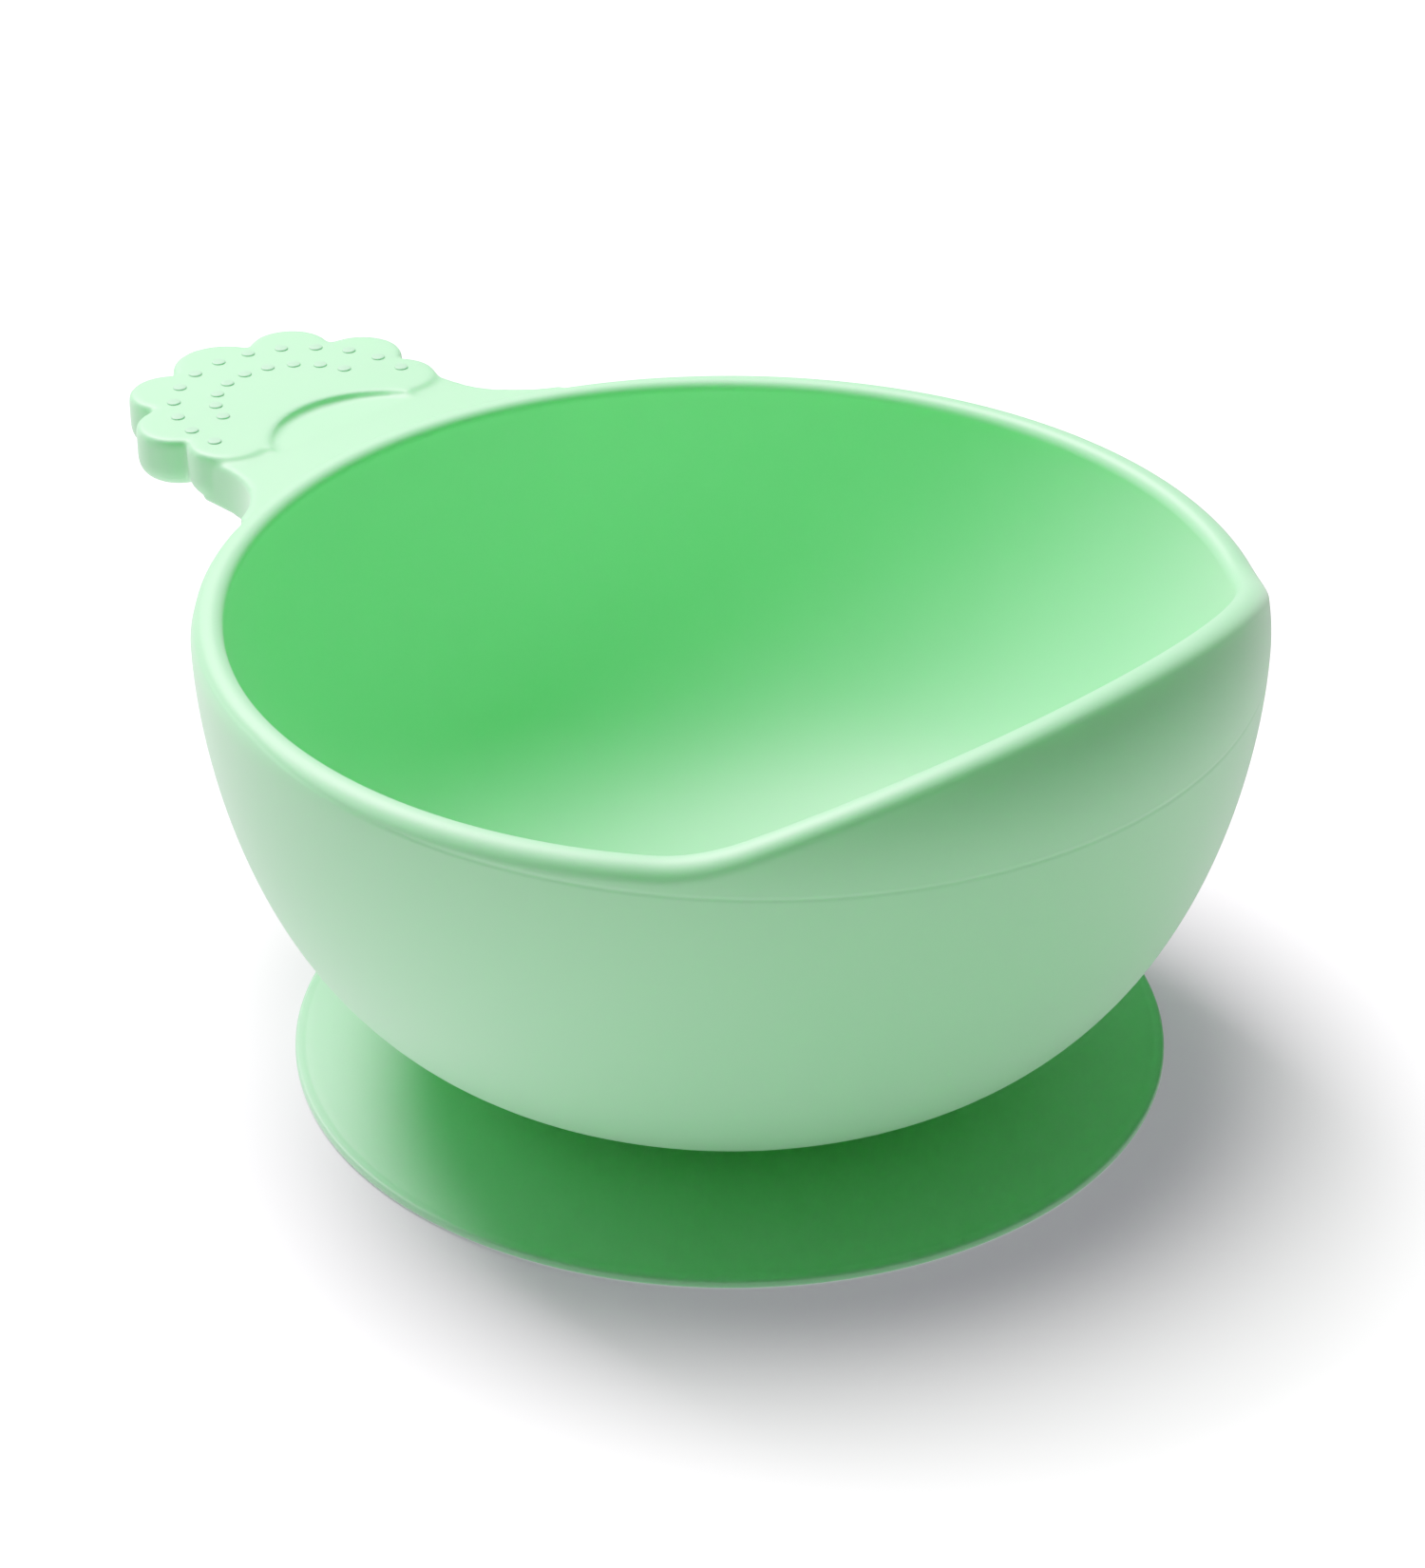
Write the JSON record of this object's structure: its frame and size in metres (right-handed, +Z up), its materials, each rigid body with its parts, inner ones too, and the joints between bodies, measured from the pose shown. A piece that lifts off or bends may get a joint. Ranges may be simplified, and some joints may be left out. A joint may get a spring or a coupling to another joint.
{
  "type": "suction bowl",
  "caption": "Soft silicone feeding bowl with a raised scoop lip, a scalloped flat handle and a wide suction cup under it.",
  "frame": {"origin": "on the table plane, under the middle of the object's bounding box", "axes": "+X towards the scoop lip (the handle points along -X), +Z up"},
  "size_m": [0.1597, 0.1244, 0.0701],
  "materials": {
    "silicone": "matte",
    "cup_silicone": "satin"
  },
  "bodies": {
    "suction_base": {"suction_cup": "cup_silicone"},
    "bowl": {"base_stem": "cup_silicone", "bowl_body": "silicone", "scoop_rim": "silicone", "handle": "silicone", "handle_badge": "silicone"}
  },
  "joints": [
    {"name": "press_down", "type": "slide", "parent": "suction_base", "child": "bowl", "axis": [0, 0, -1], "range_m": [0, 0.002], "stiffness_N_per_m": 7000, "deforming": ["suction_cup"]}
  ]
}
